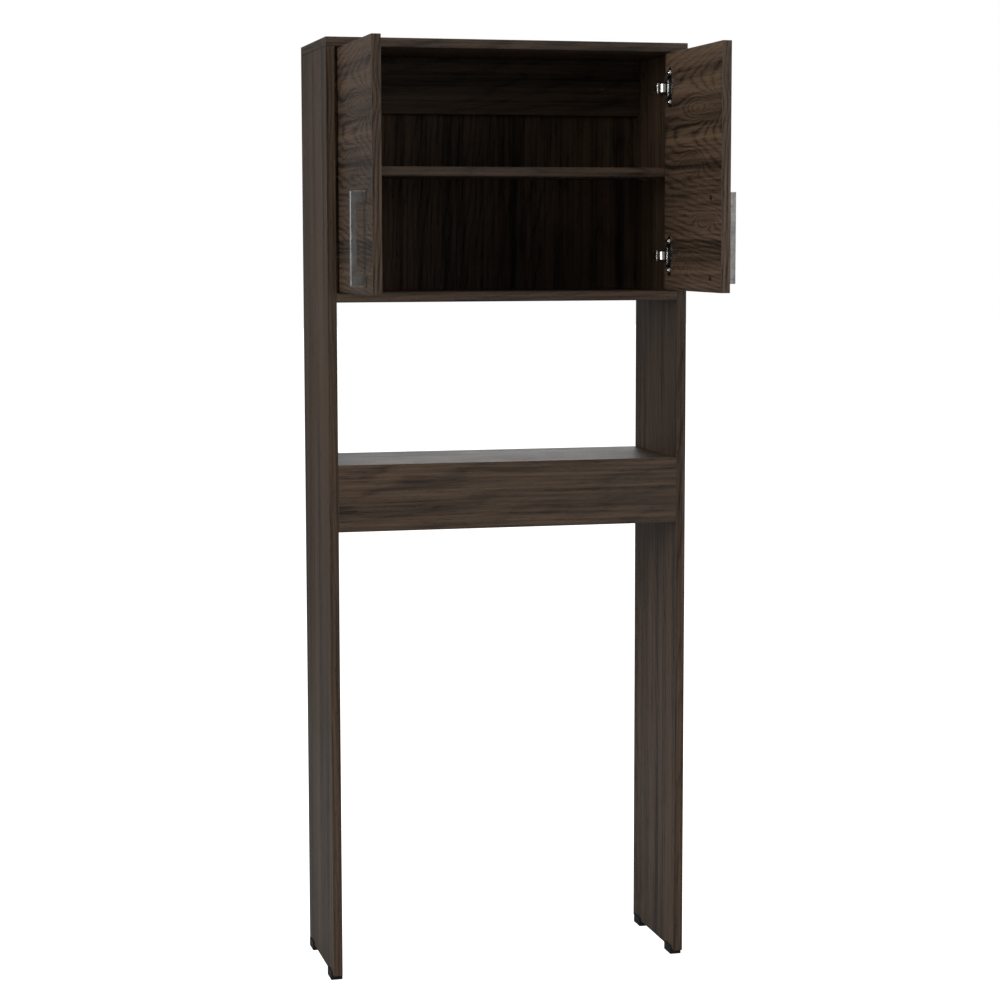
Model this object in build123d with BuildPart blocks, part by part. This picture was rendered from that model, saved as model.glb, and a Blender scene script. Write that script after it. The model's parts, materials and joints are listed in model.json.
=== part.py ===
from build123d import *

import os
from math import atan2, cos, degrees, radians, sin

os.makedirs("parts", exist_ok=True)

# A free-standing rack that stands over a toilet: two tall side panels carry a
# two-door cabinet at the top and one open shelf with a deep front apron below it.
# Millimetres. +X is to the right, +Y to the wall, +Z up. The origin is on the floor,
# in the middle of the box that the rack fills with both doors open.

# ---------------------------------------------------------------- driving sizes

# The carcass
overall_width = 610
overall_depth = 235
overall_height = 1555
board = 15
edge_ease = 0.5
cabinet_floor_height = 1145
middle_shelf_height = 865
apron_height = 110
hanging_rail_height = 95
back_thickness = 3
back_inset = 1

# The shelf inside the cabinet
inner_shelf_setback = 20
inner_shelf_end_gap = 1
inner_shelf_back_gap = 1
shelf_pin_diameter = 5
shelf_pin_hole_depth = 9
shelf_pin_inset = 40
shelf_paddle_length = 10
shelf_paddle_width = 14
shelf_paddle_thickness = 2

# The doors, flush with the front edges of the carcass
door_side_gap = 2
door_end_gap = 2
door_meeting_gap = 3
door_open_angle = 90

# The handles
handle_screw_spacing = 128
handle_foot_height = 17
handle_projection = 25
handle_bar_thickness = 9
handle_width = 10
handle_inner_radius = 4
handle_ease = 0.8
handle_edge_inset = 50
handle_end_inset = 86
handle_screw_diameter = 4
handle_screw_depth = 10
handle_thread_spare = 2
handle_hole_gap = 0.2
handle_screw_head_diameter = 8
handle_screw_head_height = 2.5

# The cabinet hinges, in plan from the side panel's inner face and the front plane
hinge_end_inset = 57
swing_axis_inset = 9.5
swing_axis_depth = 4.5
arm_pin_inset = 32
arm_pin_depth = 14
cup_pin_swing_radius = 9.8
hinge_pin_diameter = 3
hinge_pin_clearance = 0.05

cup_edge_distance = 5
cup_diameter = 35
cup_depth = 11.3
cup_wall = 0.8
cup_bore_clearance = 0.1
cup_bore_spare_depth = 0.7
cup_rim_width = 2
flange_thickness = 1.5
flange_length = 65
flange_width = 16
flange_corner_radius = 6
cup_screw_offset = 6
cup_screw_spacing = 48
cup_screw_diameter = 3.5
cup_screw_length = 12
cup_screw_head_diameter = 8
cup_screw_head_height = 2
cup_pin_diameter = 2.4
cup_pin_inner_end = 7
cup_pin_outer_end = 12

link_width = 13.2
link_steel = 1.3
link_heel_radius = 3
link_tip_radius = 1.4
link_bulge = 6.8
link_waist = 4.75
link_web_start = 4.5

arm_width = 10
arm_steel = 1.2
arm_tip_radius = 3.2
arm_height = 10.2
arm_cheek_foot = 3.5
arm_crank_front = 26
arm_crank_back = 48
arm_back_end = 92

plate_screw_depth = 52
plate_screw_spacing = 32
plate_wing_length = 48
plate_wing_width = 12
plate_wing_thickness = 1.8
plate_body_width = 7
plate_body_front = 43
plate_body_back = 88
plate_screw_diameter = 5
plate_screw_length = 10
plate_screw_head_diameter = 8
plate_screw_head_height = 1.5
arm_screw_depths = (57, 75)
arm_screw_diameter = 4
arm_screw_head_diameter = 7
arm_screw_head_height = 1.8
arm_screw_tip = 2

# The plastic feet under the bottom corners of the side panels
foot_height = 10
foot_length = 34
foot_wall = 2.2
foot_lip_height = 5
foot_front_setback = 14
foot_back_setback = 10
foot_ease = 0.6
foot_nail_spacing = 18
foot_nail_diameter = 2
foot_nail_length = 16
foot_nail_head_diameter = 5
foot_nail_head_height = 1
foot_nail_recess = 6

# The hidden joints between the boards
fit_gap = 0.05
cam_reach = 24
cam_diameter = 15
cam_height = 12
cam_pocket_depth = 12.5
cam_slot_width = 8
cam_slot_past_centre = 2
cam_cross_width = 1
cam_cross_length = 8
cam_cross_depth = 1.5
cam_gap = 0.2
bolt_thread_diameter = 5
bolt_thread_length = 11
bolt_bore_diameter = 7.5
bolt_shank_diameter = 5
bolt_head_diameter = 6.8
bolt_head_length = 4
cam_front_inset = 70
cam_back_inset = 40
apron_cam_inset = 25
rail_cam_inset = 65
dowel_diameter = 8
dowel_gap = 0.05
dowel_anchor_depth = 10
dowel_board_depth = 20
dowel_hole_spare = 1
rail_dowel_inset = 30

# The nails that hold the thin back
nail_diameter = 1.4
nail_length = 20
nail_head_diameter = 4
nail_head_height = 0.6
nail_pitch = 76
nail_top_inset = 20
nail_end_inset = 100

# The two holes for the screws that tie the rack to the wall
wall_hole_diameter = 5.5
wall_hole_spacing = 448
wall_hole_drop = 48

# ---------------------------------------------------------------- worked-out places

inner_x = overall_width / 2 - board
post_x = overall_width / 2 - board / 2
side_bottom = foot_height
side_top = overall_height - board
cabinet_underside = cabinet_floor_height - board
opening_height = side_top - cabinet_floor_height
inner_shelf_underside = cabinet_floor_height + (opening_height - board) / 2

door_width = inner_x - door_side_gap - door_meeting_gap / 2
door_bottom = cabinet_floor_height + door_end_gap
door_height = opening_height - 2 * door_end_gap
swing_reach = door_side_gap + door_width - swing_axis_inset
opening = radians(door_open_angle)
door_stand_out = swing_axis_depth * (cos(opening) - 1) + swing_reach * sin(opening)

front_y = (door_stand_out - overall_depth - back_thickness - nail_head_height) / 2
back_y = front_y + overall_depth
middle_y = front_y + overall_depth / 2

hinge_heights = {
    "lower": door_bottom + hinge_end_inset,
    "upper": door_bottom + door_height - hinge_end_inset,
}
handle_x = -inner_x + door_side_gap + door_width - handle_edge_inset
handle_heights = [
    door_bottom + handle_end_inset - handle_screw_spacing / 2,
    door_bottom + handle_end_inset + handle_screw_spacing / 2,
]


def hinge_point(inset, depth):
    """A plan position measured from the left side panel's inner face and the front plane."""
    return Vector(-inner_x + inset, front_y + depth, 0)


def turned(point, centre, angle):
    """A plan point turned about a centre, anticlockwise seen from above, in degrees."""
    return centre + (point - centre).rotate(Axis.Z, angle)


def bearing(start, end):
    """The plan direction from one point to another, in degrees."""
    return degrees(atan2(end.Y - start.Y, end.X - start.X))


# Each door turns about one upright axis. The hinge's link turns about its pin in the
# arm, and meets its pin in the cup with the door closed and with the door fully open:
# both pins then lie half the swing apart as seen from the door's axis.
swing_axis = hinge_point(swing_axis_inset, swing_axis_depth)
arm_pin = hinge_point(arm_pin_inset, arm_pin_depth)
cup_pin_bearing = radians(bearing(swing_axis, arm_pin) + door_open_angle / 2)
cup_pin = swing_axis + Vector(cos(cup_pin_bearing), sin(cup_pin_bearing), 0) * cup_pin_swing_radius
open_cup_pin = turned(cup_pin, swing_axis, -door_open_angle)
link_turn = (bearing(arm_pin, open_cup_pin) - bearing(arm_pin, cup_pin)) % 360


def turn_about(centre, angle):
    """The move that turns a piece about an upright axis through a plan point."""
    return Pos(centre.X, centre.Y, 0) * Rot(0, 0, angle) * Pos(-centre.X, -centre.Y, 0)


door_swing = turn_about(swing_axis, -door_open_angle)
link_swing = turn_about(arm_pin, link_turn)

# ---------------------------------------------------------------- helpers


def save(piece, name):
    """Name a finished piece and write its file."""
    piece.part.label = name
    export_step(piece.part, f"parts/{name}.step")


def mirrored(piece):
    """The right-hand twin of a left-hand piece."""
    with BuildPart() as twin:
        add(piece.part)
        mirror(about=Plane.YZ, mode=Mode.REPLACE)
    return twin


def save_pair(piece, name):
    """Save a left-hand piece and its right-hand twin."""
    save(piece, f"left_{name}")
    save(mirrored(piece), f"right_{name}")


def swung(piece, swing):
    """A piece made with the door closed, moved to where it stands with the door open."""
    with BuildPart() as moved_piece:
        with Locations(swing):
            add(piece.part)
    return moved_piece


def block(x, y, z):
    """A square block between two limits on each axis."""
    with BuildSketch(Plane.XY.offset(z[0])) as outline:
        with Locations(((x[0] + x[1]) / 2, (y[0] + y[1]) / 2)):
            Rectangle(x[1] - x[0], y[1] - y[0])
    extrude(outline.sketch, amount=z[1] - z[0])


def rod(start, direction, diameter, length, mode=Mode.ADD):
    """A round bar from a start point, or the hole for one."""
    with BuildSketch(Plane(origin=start, z_dir=direction)) as section:
        Circle(diameter / 2)
    extrude(section.sketch, amount=length, mode=mode)


def drill(start, direction, diameter, depth):
    """A round hole from a start point."""
    rod(start, direction, diameter, depth, mode=Mode.SUBTRACT)


# ---------------------------------------------------------------- hidden joints

# Each cam joint: the bolt's seat on the panel that it is screwed into, the direction
# that it reaches into the joined board, and the direction of the face that the cam is in.
cam_joints = []
dowel_joints = []
for side in (-1, 1):
    inward = Vector(-side, 0, 0)
    for cam_y in (front_y + cam_front_inset, back_y - cam_back_inset):
        for board_top in (cabinet_floor_height, middle_shelf_height):
            seat = Vector(side * inner_x, cam_y, board_top - board / 2)
            cam_joints.append((seat, inward, Vector(0, 0, -1)))
        seat = Vector(side * post_x, cam_y, side_top)
        cam_joints.append((seat, Vector(0, 0, -1), inward))
    for drop in (apron_cam_inset, apron_height - apron_cam_inset):
        seat = Vector(side * inner_x, front_y + board / 2, middle_shelf_height - drop)
        cam_joints.append((seat, inward, Vector(0, 1, 0)))
    seat = Vector(side * inner_x, back_y - board / 2, side_top - rail_cam_inset)
    cam_joints.append((seat, inward, Vector(0, 1, 0)))

    for board_top in (cabinet_floor_height, middle_shelf_height):
        dowel_joints.append((Vector(side * inner_x, middle_y, board_top - board / 2), inward))
    dowel_joints.append((Vector(side * post_x, middle_y, side_top), Vector(0, 0, -1)))
    apron_middle = Vector(side * inner_x, front_y + board / 2, middle_shelf_height - apron_height / 2)
    dowel_joints.append((apron_middle, inward))
    rail_seat = Vector(side * inner_x, back_y - board / 2, side_top - rail_dowel_inset)
    dowel_joints.append((rail_seat, inward))

# Back nails start a little below the top, so they stay clear of the rail's own joints.
nail_points = []
nail_rows = int((side_top - nail_top_inset - cabinet_floor_height) / nail_pitch)
for side in (-1, 1):
    for row in range(nail_rows + 1):
        nail_points.append(Vector(side * post_x, back_y, side_top - nail_top_inset - row * nail_pitch))
for nail_x in (-nail_end_inset * 2, -nail_end_inset, 0, nail_end_inset, nail_end_inset * 2):
    nail_points.append(Vector(nail_x, back_y, overall_height - board / 2))
    nail_points.append(Vector(nail_x, back_y, cabinet_floor_height - board / 2))

# Foot nails, on the left-hand side panel
foot_spans = {
    "front": (front_y + foot_front_setback, front_y + foot_front_setback + foot_length),
    "back": (back_y - foot_back_setback - foot_length, back_y - foot_back_setback),
}
foot_nail_points = []
for foot_start, foot_end in foot_spans.values():
    for offset_y in (-foot_nail_spacing / 2, foot_nail_spacing / 2):
        foot_nail_points.append(Vector(-post_x, (foot_start + foot_end) / 2 + offset_y, 0))

shelf_pin_rows = (front_y + shelf_pin_inset, back_y - shelf_pin_inset)


def drill_joints():
    """Every hole in a board for cam bolts, cams, dowels and back nails."""
    for seat, reach, face in cam_joints:
        cam_centre = seat + reach * cam_reach
        drill(seat, reach * -1, bolt_thread_diameter, bolt_thread_length)
        drill(seat, reach, bolt_bore_diameter, cam_reach)
        drill(cam_centre + face * (board / 2), face * -1, cam_diameter, cam_pocket_depth)
    for seat, reach in dowel_joints:
        drill(seat, reach * -1, dowel_diameter, dowel_anchor_depth + dowel_hole_spare)
        drill(seat, reach, dowel_diameter, dowel_board_depth + dowel_hole_spare)
    for point in nail_points:
        drill(point, (0, -1, 0), nail_diameter, nail_length)


def make_board(x, y, z):
    """A carcass board between its limits, with eased edges and all its holes."""
    with BuildPart() as panel:
        block(x, y, z)
        chamfer(panel.edges(), edge_ease)
        drill_joints()
    return panel


# ---------------------------------------------------------------- carcass boards

with BuildPart() as left_side_panel:
    block((-overall_width / 2, -inner_x), (front_y, back_y), (side_bottom, side_top))
    chamfer(left_side_panel.edges(), edge_ease)
    drill_joints()
    for hinge_height in hinge_heights.values():
        for screw_z in (-plate_screw_spacing / 2, plate_screw_spacing / 2):
            start = hinge_point(0, plate_screw_depth) + Vector(0, 0, hinge_height + screw_z)
            drill(start, (-1, 0, 0), plate_screw_diameter, plate_screw_length + fit_gap)
    for pin_y in shelf_pin_rows:
        start = (-inner_x, pin_y, inner_shelf_underside - shelf_pin_diameter / 2)
        drill(start, (-1, 0, 0), shelf_pin_diameter, shelf_pin_hole_depth)
    for point in foot_nail_points:
        drill(point, (0, 0, 1), foot_nail_diameter, foot_nail_recess + foot_nail_length + fit_gap)
save_pair(left_side_panel, "side_panel")

top_panel = make_board(
    (-overall_width / 2, overall_width / 2), (front_y, back_y), (side_top, overall_height)
)
save(top_panel, "top_panel")

cabinet_bottom_panel = make_board(
    (-inner_x, inner_x), (front_y, back_y), (cabinet_underside, cabinet_floor_height)
)
save(cabinet_bottom_panel, "cabinet_bottom_panel")

middle_shelf = make_board(
    (-inner_x, inner_x),
    (front_y + board, back_y),
    (middle_shelf_height - board, middle_shelf_height),
)
save(middle_shelf, "middle_shelf")

middle_apron = make_board(
    (-inner_x, inner_x),
    (front_y, front_y + board),
    (middle_shelf_height - apron_height, middle_shelf_height),
)
save(middle_apron, "middle_apron")

# The rail under the top takes the two wall screws, one near each end.
wall_hole_z = side_top - wall_hole_drop
wall_hole_xs = (-wall_hole_spacing / 2, wall_hole_spacing / 2)

with BuildPart() as hanging_rail:
    block((-inner_x, inner_x), (back_y - board, back_y), (side_top - hanging_rail_height, side_top))
    chamfer(hanging_rail.edges(), edge_ease)
    drill_joints()
    for hole_x in wall_hole_xs:
        drill((hole_x, back_y - board, wall_hole_z), (0, 1, 0), wall_hole_diameter, board)
save(hanging_rail, "hanging_rail")

with BuildPart() as back_panel:
    block(
        (-overall_width / 2 + back_inset, overall_width / 2 - back_inset),
        (back_y, back_y + back_thickness),
        (cabinet_underside + back_inset, overall_height - back_inset),
    )
    for point in nail_points:
        drill(point, (0, 1, 0), nail_diameter, back_thickness)
    for hole_x in wall_hole_xs:
        drill((hole_x, back_y, wall_hole_z), (0, 1, 0), wall_hole_diameter, back_thickness)
save(back_panel, "back_panel")

with BuildPart() as cabinet_shelf:
    block(
        (-inner_x + inner_shelf_end_gap, inner_x - inner_shelf_end_gap),
        (front_y + inner_shelf_setback, back_y - inner_shelf_back_gap),
        (inner_shelf_underside, inner_shelf_underside + board),
    )
    chamfer(cabinet_shelf.edges(), edge_ease)
save(cabinet_shelf, "cabinet_shelf")

# ---------------------------------------------------------------- joint fittings

with BuildPart() as cam_bolts:
    for seat, reach, face in cam_joints:
        rod(seat, reach * -1, bolt_thread_diameter - 2 * fit_gap, bolt_thread_length - fit_gap)
        rod(seat, reach, bolt_shank_diameter, cam_reach)
        head_start = seat + reach * (cam_reach - bolt_head_length)
        rod(head_start, reach, bolt_head_diameter, bolt_head_length)
save(cam_bolts, "cam_bolts")

# A cam is a disc, slotted to take the bolt's head, with a cross in its outer face for a
# screwdriver. That face lies just under the board's face.
with BuildPart() as cam_locks:
    for seat, reach, face in cam_joints:
        cam_centre = seat + reach * cam_reach
        disc_start = cam_centre + face * (board / 2 - cam_gap)
        rod(disc_start, face * -1, cam_diameter - 2 * cam_gap, cam_height)
    for seat, reach, face in cam_joints:
        drill(seat, reach, cam_slot_width, cam_reach + cam_slot_past_centre)
        cross_centre = seat + reach * cam_reach + face * (board / 2 - cam_gap)
        with BuildSketch(Plane(origin=cross_centre, x_dir=reach, z_dir=face)):
            Rectangle(cam_cross_length, cam_cross_width)
            Rectangle(cam_cross_width, cam_cross_length)
        extrude(amount=-cam_cross_depth, mode=Mode.SUBTRACT)
save(cam_locks, "cam_locks")

with BuildPart() as wood_dowels:
    for seat, reach in dowel_joints:
        start = seat - reach * dowel_anchor_depth
        rod(start, reach, dowel_diameter - 2 * dowel_gap, dowel_anchor_depth + dowel_board_depth)
save(wood_dowels, "wood_dowels")

with BuildPart() as left_shelf_pins:
    for pin_y in shelf_pin_rows:
        peg_z = inner_shelf_underside - shelf_pin_diameter / 2
        peg_length = shelf_pin_hole_depth - inner_shelf_end_gap
        rod((-inner_x, pin_y, peg_z), (-1, 0, 0), shelf_pin_diameter - 2 * fit_gap, peg_length)
        block(
            (-inner_x, -inner_x + shelf_paddle_length),
            (pin_y - shelf_paddle_width / 2, pin_y + shelf_paddle_width / 2),
            (inner_shelf_underside - shelf_paddle_thickness, inner_shelf_underside),
        )
save_pair(left_shelf_pins, "shelf_pins")

with BuildPart() as back_panel_nails:
    for point in nail_points:
        face_point = point + Vector(0, back_thickness, 0)
        rod(face_point, (0, -1, 0), nail_diameter - fit_gap, nail_length)
        rod(face_point, (0, 1, 0), nail_head_diameter, nail_head_height)
save(back_panel_nails, "back_panel_nails")

# ---------------------------------------------------------------- feet

for foot_name, (foot_start, foot_end) in foot_spans.items():
    with BuildPart() as foot:
        block(
            (-overall_width / 2 - foot_wall, -inner_x + foot_wall),
            (foot_start, foot_end),
            (0, foot_height + foot_lip_height),
        )
        chamfer(foot.edges(), foot_ease)
        with BuildSketch(Plane.XY.offset(foot_height)):
            with Locations((-post_x, (foot_start + foot_end) / 2)):
                Rectangle(board, foot_length)
        extrude(amount=foot_lip_height, mode=Mode.SUBTRACT)
        for point in foot_nail_points:
            drill(point, (0, 0, 1), foot_nail_head_diameter + 2 * fit_gap, foot_nail_recess)
            drill(point, (0, 0, 1), foot_nail_diameter, foot_height)
    save(foot, f"{foot_name}_left_foot")
    save(mirrored(foot), f"{foot_name}_right_foot")

with BuildPart() as left_foot_nails:
    for point in foot_nail_points:
        head_start = point + Vector(0, 0, foot_nail_recess - foot_nail_head_height)
        rod(head_start, (0, 0, 1), foot_nail_head_diameter, foot_nail_head_height)
        shank_length = foot_nail_head_height + foot_nail_length
        rod(head_start, (0, 0, 1), foot_nail_diameter - fit_gap, shank_length)
with BuildPart() as foot_nails:
    add(left_foot_nails.part)
    mirror(about=Plane.YZ)
save(foot_nails, "foot_nails")

# ---------------------------------------------------------------- doors

door_inner_depth = board
cup_centre_inset = door_side_gap + cup_edge_distance + cup_diameter / 2
cup_screw_inset = cup_centre_inset + cup_screw_offset
door_left_x = -inner_x + door_side_gap


def cup_screw_points():
    """Where the hinge cup's screws enter the inner face of the closed left door."""
    points = []
    for hinge_height in hinge_heights.values():
        for offset_z in (-cup_screw_spacing / 2, cup_screw_spacing / 2):
            place = hinge_point(cup_screw_inset, door_inner_depth)
            points.append(place + Vector(0, 0, hinge_height + offset_z))
    return points


with BuildPart() as closed_door:
    block(
        (door_left_x, door_left_x + door_width),
        (front_y, front_y + board),
        (door_bottom, door_bottom + door_height),
    )
    chamfer(closed_door.edges(), edge_ease)
    for hinge_height in hinge_heights.values():
        cup_place = hinge_point(cup_centre_inset, door_inner_depth) + Vector(0, 0, hinge_height)
        drill(cup_place, (0, -1, 0), cup_diameter, cup_depth + cup_bore_spare_depth)
    for point in cup_screw_points():
        drill(point, (0, -1, 0), cup_screw_diameter, cup_screw_length - flange_thickness + fit_gap)
    for screw_z in handle_heights:
        start = (handle_x, front_y, screw_z)
        drill(start, (0, 1, 0), handle_screw_diameter + 2 * handle_hole_gap, board)
save_pair(swung(closed_door, door_swing), "door")

# ---------------------------------------------------------------- handles

with BuildPart() as closed_handle:
    with BuildSketch(Plane.YZ.offset(handle_x - handle_width / 2)):
        with Locations((front_y - handle_projection / 2, door_bottom + handle_end_inset)):
            Rectangle(handle_projection, handle_screw_spacing + handle_foot_height)
    extrude(amount=handle_width)
    chamfer(closed_handle.edges(), handle_ease)
    with BuildSketch(Plane.YZ.offset(handle_x - handle_width)):
        finger_depth = handle_projection - handle_bar_thickness
        with BuildLine():
            Polyline(
                (front_y + handle_inner_radius, handle_heights[0] + handle_foot_height / 2),
                (front_y - finger_depth, handle_heights[0] + handle_foot_height / 2),
                (front_y - finger_depth, handle_heights[1] - handle_foot_height / 2),
                (front_y + handle_inner_radius, handle_heights[1] - handle_foot_height / 2),
                close=True,
            )
        finger_gap = make_face()
        fillet(finger_gap.vertices().group_by(Axis.Y)[0], handle_inner_radius)
    extrude(amount=2 * handle_width, mode=Mode.SUBTRACT)
    for screw_z in handle_heights:
        start = (handle_x, front_y, screw_z)
        drill(start, (0, -1, 0), handle_screw_diameter, handle_screw_depth + handle_thread_spare)
save_pair(swung(closed_handle, door_swing), "door_handle")

with BuildPart() as closed_handle_screws:
    for screw_z in handle_heights:
        start = (handle_x, front_y + board, screw_z)
        shank = handle_screw_diameter - 2 * fit_gap
        rod(start, (0, -1, 0), shank, board + handle_screw_depth)
        rod(start, (0, 1, 0), handle_screw_head_diameter, handle_screw_head_height)
save_pair(swung(closed_handle_screws, door_swing), "handle_screws")

# ---------------------------------------------------------------- hinges

for level, hinge_height in hinge_heights.items():
    lift = Vector(0, 0, hinge_height)

    # The cup sits in the door's bore and its flange on the door's inner face.
    cup_mouth = hinge_point(cup_centre_inset, door_inner_depth) + lift
    door_face = Plane(origin=cup_mouth, x_dir=(1, 0, 0), z_dir=(0, 1, 0))
    cup_radius = cup_diameter / 2 - cup_bore_clearance
    with BuildPart() as closed_cup:
        with BuildSketch(door_face):
            Circle(cup_radius + cup_rim_width)
            with Locations((cup_screw_offset, 0)):
                RectangleRounded(flange_width, flange_length, flange_corner_radius)
        extrude(amount=flange_thickness)
        rod(cup_mouth, (0, -1, 0), 2 * cup_radius, cup_depth)
        hollow_start = cup_mouth + Vector(0, flange_thickness, 0)
        hollow_depth = flange_thickness + cup_depth - cup_wall
        drill(hollow_start, (0, -1, 0), 2 * (cup_radius - cup_wall), hollow_depth)
        for offset_z in (-cup_screw_spacing / 2, cup_screw_spacing / 2):
            start = hinge_point(cup_screw_inset, door_inner_depth) + lift + Vector(0, 0, offset_z)
            drill(start, (0, 1, 0), cup_screw_diameter + 2 * fit_gap, flange_thickness)
        drill(cup_pin + lift - Vector(0, 0, cup_diameter), (0, 0, 1), cup_pin_diameter, 2 * cup_diameter)
    save_pair(swung(closed_cup, door_swing), f"{level}_hinge_cup")

    # The link is a bent channel that straddles the arm's tip and reaches into the cup.
    # The two cheeks are the side view, and the web follows the outside of the bend.
    heel_low = arm_pin - Vector(0, link_heel_radius, 0)
    heel_high = arm_pin + Vector(0, link_heel_radius, 0)
    heel_end = arm_pin + Vector(link_heel_radius, 0, 0)
    tip_low = cup_pin - Vector(0, link_tip_radius, 0)
    tip_high = cup_pin + Vector(0, link_tip_radius, 0)
    tip_end = cup_pin - Vector(link_tip_radius, 0, 0)
    bend = (arm_pin + cup_pin) * 0.5 - Vector(0, link_bulge, 0)
    bend_inside = bend + Vector(0, link_waist, 0)
    web_shift = Vector(0, link_steel, 0)
    web_limit = arm_pin.X - link_web_start
    with BuildPart() as closed_link:
        with BuildSketch(Plane.XY.offset(hinge_height - link_width / 2)) as cheek:
            with BuildLine():
                ThreePointArc(heel_low, bend, tip_low)
                ThreePointArc(tip_low, tip_end, tip_high)
                ThreePointArc(tip_high, bend_inside, heel_high)
                ThreePointArc(heel_high, heel_end, heel_low)
            make_face()
        extrude(amount=link_width)
        with BuildSketch(Plane.XY.offset(hinge_height - link_width / 2 + link_steel)):
            with BuildLine():
                inside_arc = ThreePointArc(heel_low + web_shift, bend + web_shift, tip_low + web_shift)
                Polyline(
                    inside_arc @ 1,
                    tip_low + Vector(-2 * link_heel_radius, link_steel, 0),
                    tip_high + Vector(-2 * link_heel_radius, 2 * link_heel_radius, 0),
                    heel_high + Vector(2 * link_heel_radius, 2 * link_heel_radius, 0),
                    heel_low + Vector(2 * link_heel_radius, link_steel, 0),
                    inside_arc @ 0,
                )
            make_face()
            with Locations((web_limit + link_heel_radius * 2, arm_pin.Y)):
                Rectangle(link_heel_radius * 4, link_heel_radius * 6)
        extrude(amount=link_width - 2 * link_steel, mode=Mode.SUBTRACT)
        pin_hole = hinge_pin_diameter + 2 * hinge_pin_clearance
        drill(arm_pin + lift - Vector(0, 0, link_width), (0, 0, 1), pin_hole, 2 * link_width)
    save_pair(swung(closed_link, link_swing), f"{level}_hinge_link")

    # The arm is a cranked channel on the side panel, its tip at the link's pin.
    with BuildPart() as arm:
        arm_outline = [
            hinge_point(arm_pin_inset + arm_tip_radius, arm_pin_depth),
            hinge_point(arm_pin_inset + arm_tip_radius, arm_crank_front),
            hinge_point(arm_height, arm_crank_back),
            hinge_point(arm_height, arm_back_end),
            hinge_point(arm_cheek_foot, arm_back_end),
            hinge_point(arm_cheek_foot, arm_crank_back - arm_tip_radius),
            hinge_point(arm_pin_inset - arm_tip_radius, arm_crank_front - arm_tip_radius),
            hinge_point(arm_pin_inset - arm_tip_radius, arm_pin_depth),
        ]
        arm_tip = (arm_pin.X, arm_pin.Y)
        with BuildSketch(Plane.XY.offset(hinge_height - arm_width / 2)):
            with BuildLine():
                Polyline(*arm_outline, close=True)
            make_face()
            with Locations(arm_tip):
                Circle(arm_tip_radius)
        extrude(amount=arm_width)
        with BuildSketch(Plane.XY.offset(hinge_height - arm_width / 2 + arm_steel)):
            with BuildLine():
                Polyline(*[point - Vector(arm_steel, 0, 0) for point in arm_outline], close=True)
            make_face()
            with Locations((arm_pin.X - arm_steel, arm_pin.Y)):
                Circle(arm_tip_radius)
            with Locations((arm_pin.X - arm_steel, arm_pin.Y - arm_tip_radius)):
                Rectangle(2 * arm_tip_radius, 2 * arm_tip_radius)
        extrude(amount=arm_width - 2 * arm_steel, mode=Mode.SUBTRACT)
        drill(arm_pin + lift - Vector(0, 0, arm_width), (0, 0, 1), hinge_pin_diameter, 2 * arm_width)
        for screw_depth in arm_screw_depths:
            start = hinge_point(arm_height, screw_depth) + lift
            drill(start, (-1, 0, 0), arm_screw_diameter + 2 * fit_gap, 2 * arm_steel)
    save_pair(arm, f"{level}_hinge_arm")

    # The mounting plate is screwed to the side panel, and the arm sits over its body.
    with BuildPart() as plate:
        plate_origin = hinge_point(0, plate_screw_depth) + lift
        with BuildSketch(Plane(origin=plate_origin, x_dir=(0, 1, 0), z_dir=(1, 0, 0))):
            SlotOverall(plate_wing_length, plate_wing_width, rotation=90)
        extrude(amount=plate_wing_thickness)
        with BuildSketch(Plane.XY.offset(hinge_height - plate_body_width / 2)):
            body_start = hinge_point(0, plate_body_front)
            body_end = hinge_point(arm_height - arm_steel, plate_body_back)
            with Locations(((body_start.X + body_end.X) / 2, (body_start.Y + body_end.Y) / 2)):
                Rectangle(body_end.X - body_start.X, body_end.Y - body_start.Y)
        extrude(amount=plate_body_width)
        for offset_z in (-plate_screw_spacing / 2, plate_screw_spacing / 2):
            start = plate_origin + Vector(0, 0, offset_z)
            drill(start, (1, 0, 0), plate_screw_diameter + 2 * fit_gap, plate_wing_thickness)
        for screw_depth in arm_screw_depths:
            start = hinge_point(arm_height, screw_depth) + lift
            drill(start, (-1, 0, 0), arm_screw_diameter, arm_height - arm_screw_tip + fit_gap)
    save_pair(plate, f"{level}_hinge_plate")

with BuildPart() as closed_cup_pins:
    for hinge_height in hinge_heights.values():
        for direction in (-1, 1):
            start = cup_pin + Vector(0, 0, hinge_height + direction * cup_pin_inner_end)
            stub_length = cup_pin_outer_end - cup_pin_inner_end
            rod(start, (0, 0, direction), cup_pin_diameter - fit_gap, stub_length)
save_pair(swung(closed_cup_pins, door_swing), "hinge_cup_pins")

with BuildPart() as closed_cup_screws:
    for point in cup_screw_points():
        rod(point, (0, -1, 0), cup_screw_diameter - 2 * fit_gap, cup_screw_length - flange_thickness)
        rod(point, (0, 1, 0), cup_screw_diameter - 2 * fit_gap, flange_thickness)
        head_start = point + Vector(0, flange_thickness, 0)
        rod(head_start, (0, 1, 0), cup_screw_head_diameter, cup_screw_head_height)
save_pair(swung(closed_cup_screws, door_swing), "hinge_cup_screws")

with BuildPart() as left_arm_pins:
    for hinge_height in hinge_heights.values():
        half_length = link_width / 2 + link_steel
        start = arm_pin + Vector(0, 0, hinge_height - half_length)
        rod(start, (0, 0, 1), hinge_pin_diameter, 2 * half_length)
save_pair(left_arm_pins, "hinge_arm_pins")

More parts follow.
